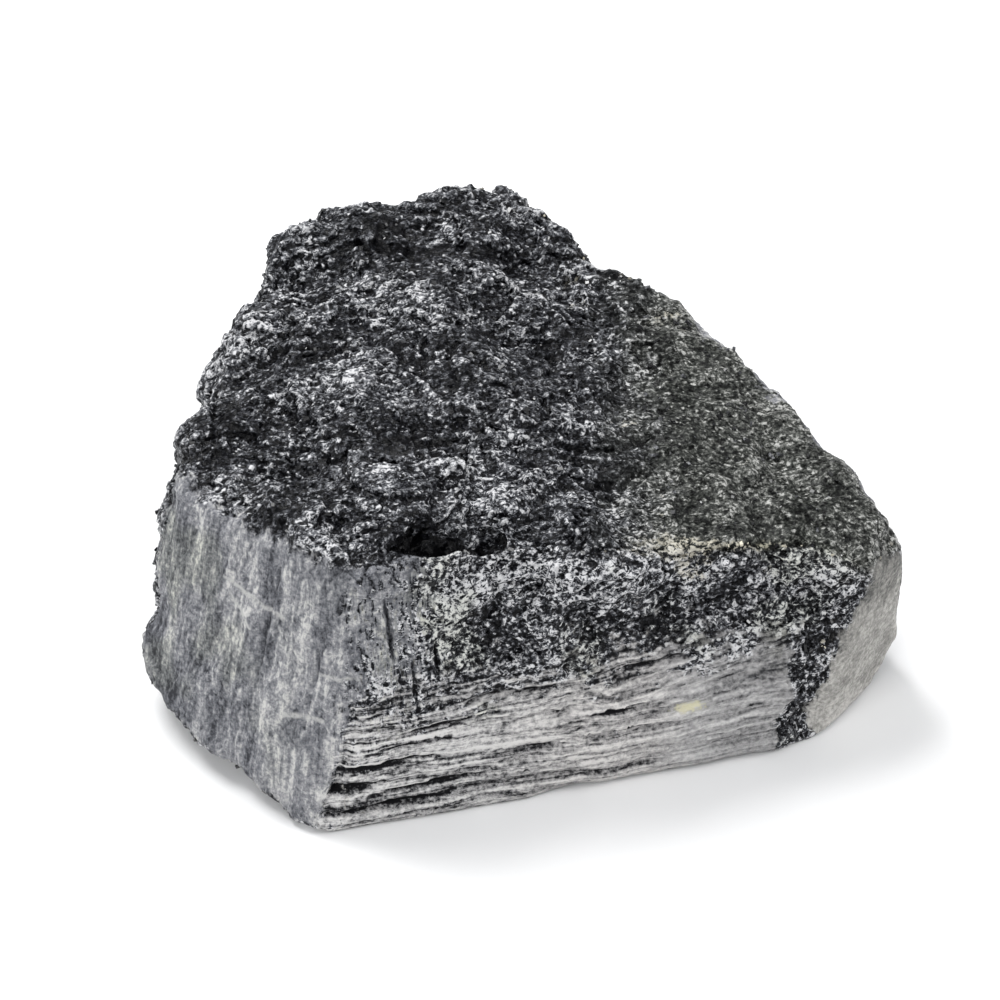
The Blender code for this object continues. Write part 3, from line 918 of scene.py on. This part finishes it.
# Tilted grains on the break, and a fine bump of grit and growth lines over everything
def finishNormal(tree, marks, glitterNormal):
    node = addNode(tree, "ShaderNodeMix", data_type="VECTOR")
    feed(tree, node.inputs[0], marks["hackly"])
    feed(tree, node.inputs[4], addNode(tree, "ShaderNodeNewGeometry").outputs["Normal"])
    feed(tree, node.inputs[5], glitterNormal)
    streaks = times(tree, times(tree, marks["lineFine"], marks["lined"]), 1.6)
    bump = addNode(tree, "ShaderNodeBump")
    bump.inputs["Strength"].default_value = stoneFinish["bumpStrength"]
    bump.inputs["Distance"].default_value = stoneFinish["bumpDepth"] * mm
    feed(tree, bump.inputs["Height"], calc(tree, "ADD", marks["grit"], streaks))
    feed(tree, bump.inputs["Normal"], vectorCalc(tree, "NORMALIZE", node.outputs[1]))
    return bump.outputs["Normal"]


def makeStoneMaterial():
    material = bpy.data.materials.new("blackTourmaline")
    material.use_nodes = True
    tree = material.node_tree
    shader = tree.nodes["Principled BSDF"]
    marks = gatherMarks(tree)
    roughenBorders(tree, marks)

    hackly = breakTone(tree, marks)
    blackBreak = byTone(tree, hackly, stoneTones["hackly"])
    calmBreak = byTone(tree, toneOf(tree, marks, "calm"), stoneTones["calm"])
    endFace = byTone(tree, dustyTone(tree, marks), stoneTones["dusty"])
    bandFace = byTone(tree, bandTone(tree, marks), stoneTones["striated"])
    warm = times(tree, ramp(tree, marks["x"], -8, 2), ramp(tree, marks["x"], 9, 5))
    bandFace = mixColour(tree, warm, bandFace, stoneStains["beige"], "MULTIPLY")
    facet = byTone(tree, facetTone(tree, marks), stoneTones["pale"])

    colour = mixColour(tree, times(tree, marks["calm"], stoneFinish["calmAmount"]), blackBreak, calmBreak)
    colour = mixColour(tree, marks["dusty"], colour, endFace)
    colour = mixColour(tree, marks["striated"], colour, bandFace)
    colour = mixColour(tree, marks["pale"], colour, facet)
    colour = mixColour(tree, marks["seat"], colour, stoneStains["seat"])
    creamy = times(tree, creamShare(tree, marks), stoneFinish["creamAmount"])
    colour = mixColour(tree, creamy, colour, stoneStains["cream"])
    colour = mixColour(tree, mossShare(tree, marks), colour, stoneStains["moss"], "MULTIPLY")
    colour = mixColour(tree, scratchShare(tree, marks), colour, stoneStains["scratch"])
    colour = mixColour(tree, sulphurShare(tree, marks), colour, stoneStains["sulphur"])
    feed(tree, shader.inputs["Base Color"], colour)

    glitter = useGroup(tree, makeGlitterGroup(), {
        "Place": marks["place"], "Size": stoneFinish["glitterSize"], "Tilt": stoneFinish["glitterTilt"]})
    glossy = mixValue(tree, glitter["Grain"], *stoneFinish["breakRoughness"])
    glossy = calc(tree, "ADD", glossy, ramp(tree, hackly, 0.5, 0.9, 0, 0.3))
    roughness = mixValue(tree, marks["hackly"], stoneFinish["dustRoughness"], glossy)
    feed(tree, shader.inputs["Roughness"], roughness)
    feed(tree, shader.inputs["Normal"], finishNormal(tree, marks, glitter["Normal"]))
    shader.inputs["IOR"].default_value = stoneFinish["refraction"]
    shader.inputs["Specular IOR Level"].default_value = stoneFinish["specular"]
    return material


# Glassy grains: black ones, grey ones and a few white and cream ones
def makeGrainMaterial():
    material = bpy.data.materials.new("tourmalineGrains")
    material.use_nodes = True
    tree = material.node_tree
    shader = tree.nodes["Principled BSDF"]
    place = vectorCalc(tree, "SCALE", addNode(tree, "ShaderNodeTexCoord").outputs["Object"], scale=1 / mm)
    x = split(tree, place)[0]
    own = attributeOf(tree, "grainTone")
    edge = attributeOf(tree, "edge")
    light = total(tree, times(tree, calc(tree, "POWER", own, 3.0), 0.7), times(tree, edge, 0.1),
                  times(tree, unrest(tree, place, (0.15, 0.15, 0.15)), 1.4))
    colour = byTone(tree, light, stoneTones["hackly"])
    creamy = times(tree, ramp(tree, x, 1, 8), ramp(tree, edge, 0.3, 0.8))
    creamy = times(tree, creamy, ramp(tree, own, 0.55, 0.75))
    colour = mixColour(tree, creamy, colour, stoneStains["cream"])
    feed(tree, shader.inputs["Base Color"], colour)
    feed(tree, shader.inputs["Roughness"], ramp(tree, own, 0, 1, *stoneFinish["grainRoughness"]))
    shader.inputs["IOR"].default_value = stoneFinish["refraction"]
    return material


studioLook = {
    "floor": (0.86, 0.86, 0.86, 1),
    "floorSize": 3.0,
    "worldColour": (0.95, 0.97, 1.0, 1),
    "worldStrength": 0.5,  # overhead
    "worldLow": 0.2,  # at the horizon
    "azimuth": -14,
    "elevation": 40,
    "lens": 200,
    "distance": 0.36,
    "target": (0.0005, -0.001, 0.0085),
    "lights": (
        # place, size, watts
        ((-0.15, 0.28, 0.5), 0.3, 3.6),
        ((-0.35, -0.35, 0.3), 0.3, 1.5),
        ((0.4, -0.2, 0.35), 0.2, 1.3),
    ),
}


def makeFloor():
    mesh = bpy.data.meshes.new("floor")
    shape = bmesh.new()
    bmesh.ops.create_grid(shape, x_segments=1, y_segments=1, size=studioLook["floorSize"] / 2)
    shape.to_mesh(mesh)
    shape.free()
    floor = bpy.data.objects.new("floor", mesh)
    bpy.context.scene.collection.objects.link(floor)
    material = bpy.data.materials.new("palePaper")
    material.use_nodes = True
    shader = material.node_tree.nodes["Principled BSDF"]
    shader.inputs["Base Color"].default_value = studioLook["floor"]
    shader.inputs["Roughness"].default_value = 0.9
    shader.inputs["Specular IOR Level"].default_value = 0.1
    mesh.materials.append(material)
    return floor


def aim(obj, place, target):
    obj.location = place
    obj.rotation_euler = (Vector(target) - Vector(place)).to_track_quat("-Z", "Y").to_euler()


def makeStudio():
    world = bpy.data.worlds.new("studioAir")
    world.use_nodes = True
    background = world.node_tree.nodes["Background"]
    background.inputs["Color"].default_value = studioLook["worldColour"]
    direction = addNode(world.node_tree, "ShaderNodeTexCoord").outputs["Generated"]
    upwards = split(world.node_tree, direction)[2]
    glow = ramp(world.node_tree, upwards, -0.1, 0.9, studioLook["worldLow"], studioLook["worldStrength"])
    feed(world.node_tree, background.inputs["Strength"], glow)
    bpy.context.scene.world = world
    bpy.context.scene.view_settings.view_transform = "Standard"
    for place, size, watts in studioLook["lights"]:
        lamp = bpy.data.lights.new("softbox", "AREA")
        lamp.shape = "SQUARE"
        lamp.size = size
        lamp.energy = watts
        softbox = bpy.data.objects.new("softbox", lamp)
        bpy.context.scene.collection.objects.link(softbox)
        aim(softbox, place, (0, 0, 0.01))


def makeCamera():
    azimuth, elevation = np.radians(studioLook["azimuth"]), np.radians(studioLook["elevation"])
    back = Vector((np.sin(azimuth) * np.cos(elevation), -np.cos(azimuth) * np.cos(elevation),
                   np.sin(elevation)))
    lens = bpy.data.cameras.new("camera")
    lens.lens = studioLook["lens"]
    lens.clip_start = 0.01
    camera = bpy.data.objects.new("camera", lens)
    bpy.context.scene.collection.objects.link(camera)
    target = Vector(studioLook["target"])
    aim(camera, target + back * studioLook["distance"], target)
    bpy.context.scene.camera = camera


makeStudio()
makeCamera()
floor = makeFloor()
print("studio: floor, lights and camera")

stone = makeStone(makeStoneMaterial())
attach(stone, "root")
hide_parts("crystal")

grains = makeGrains(stone, makeGrainMaterial())
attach(grains, "root")
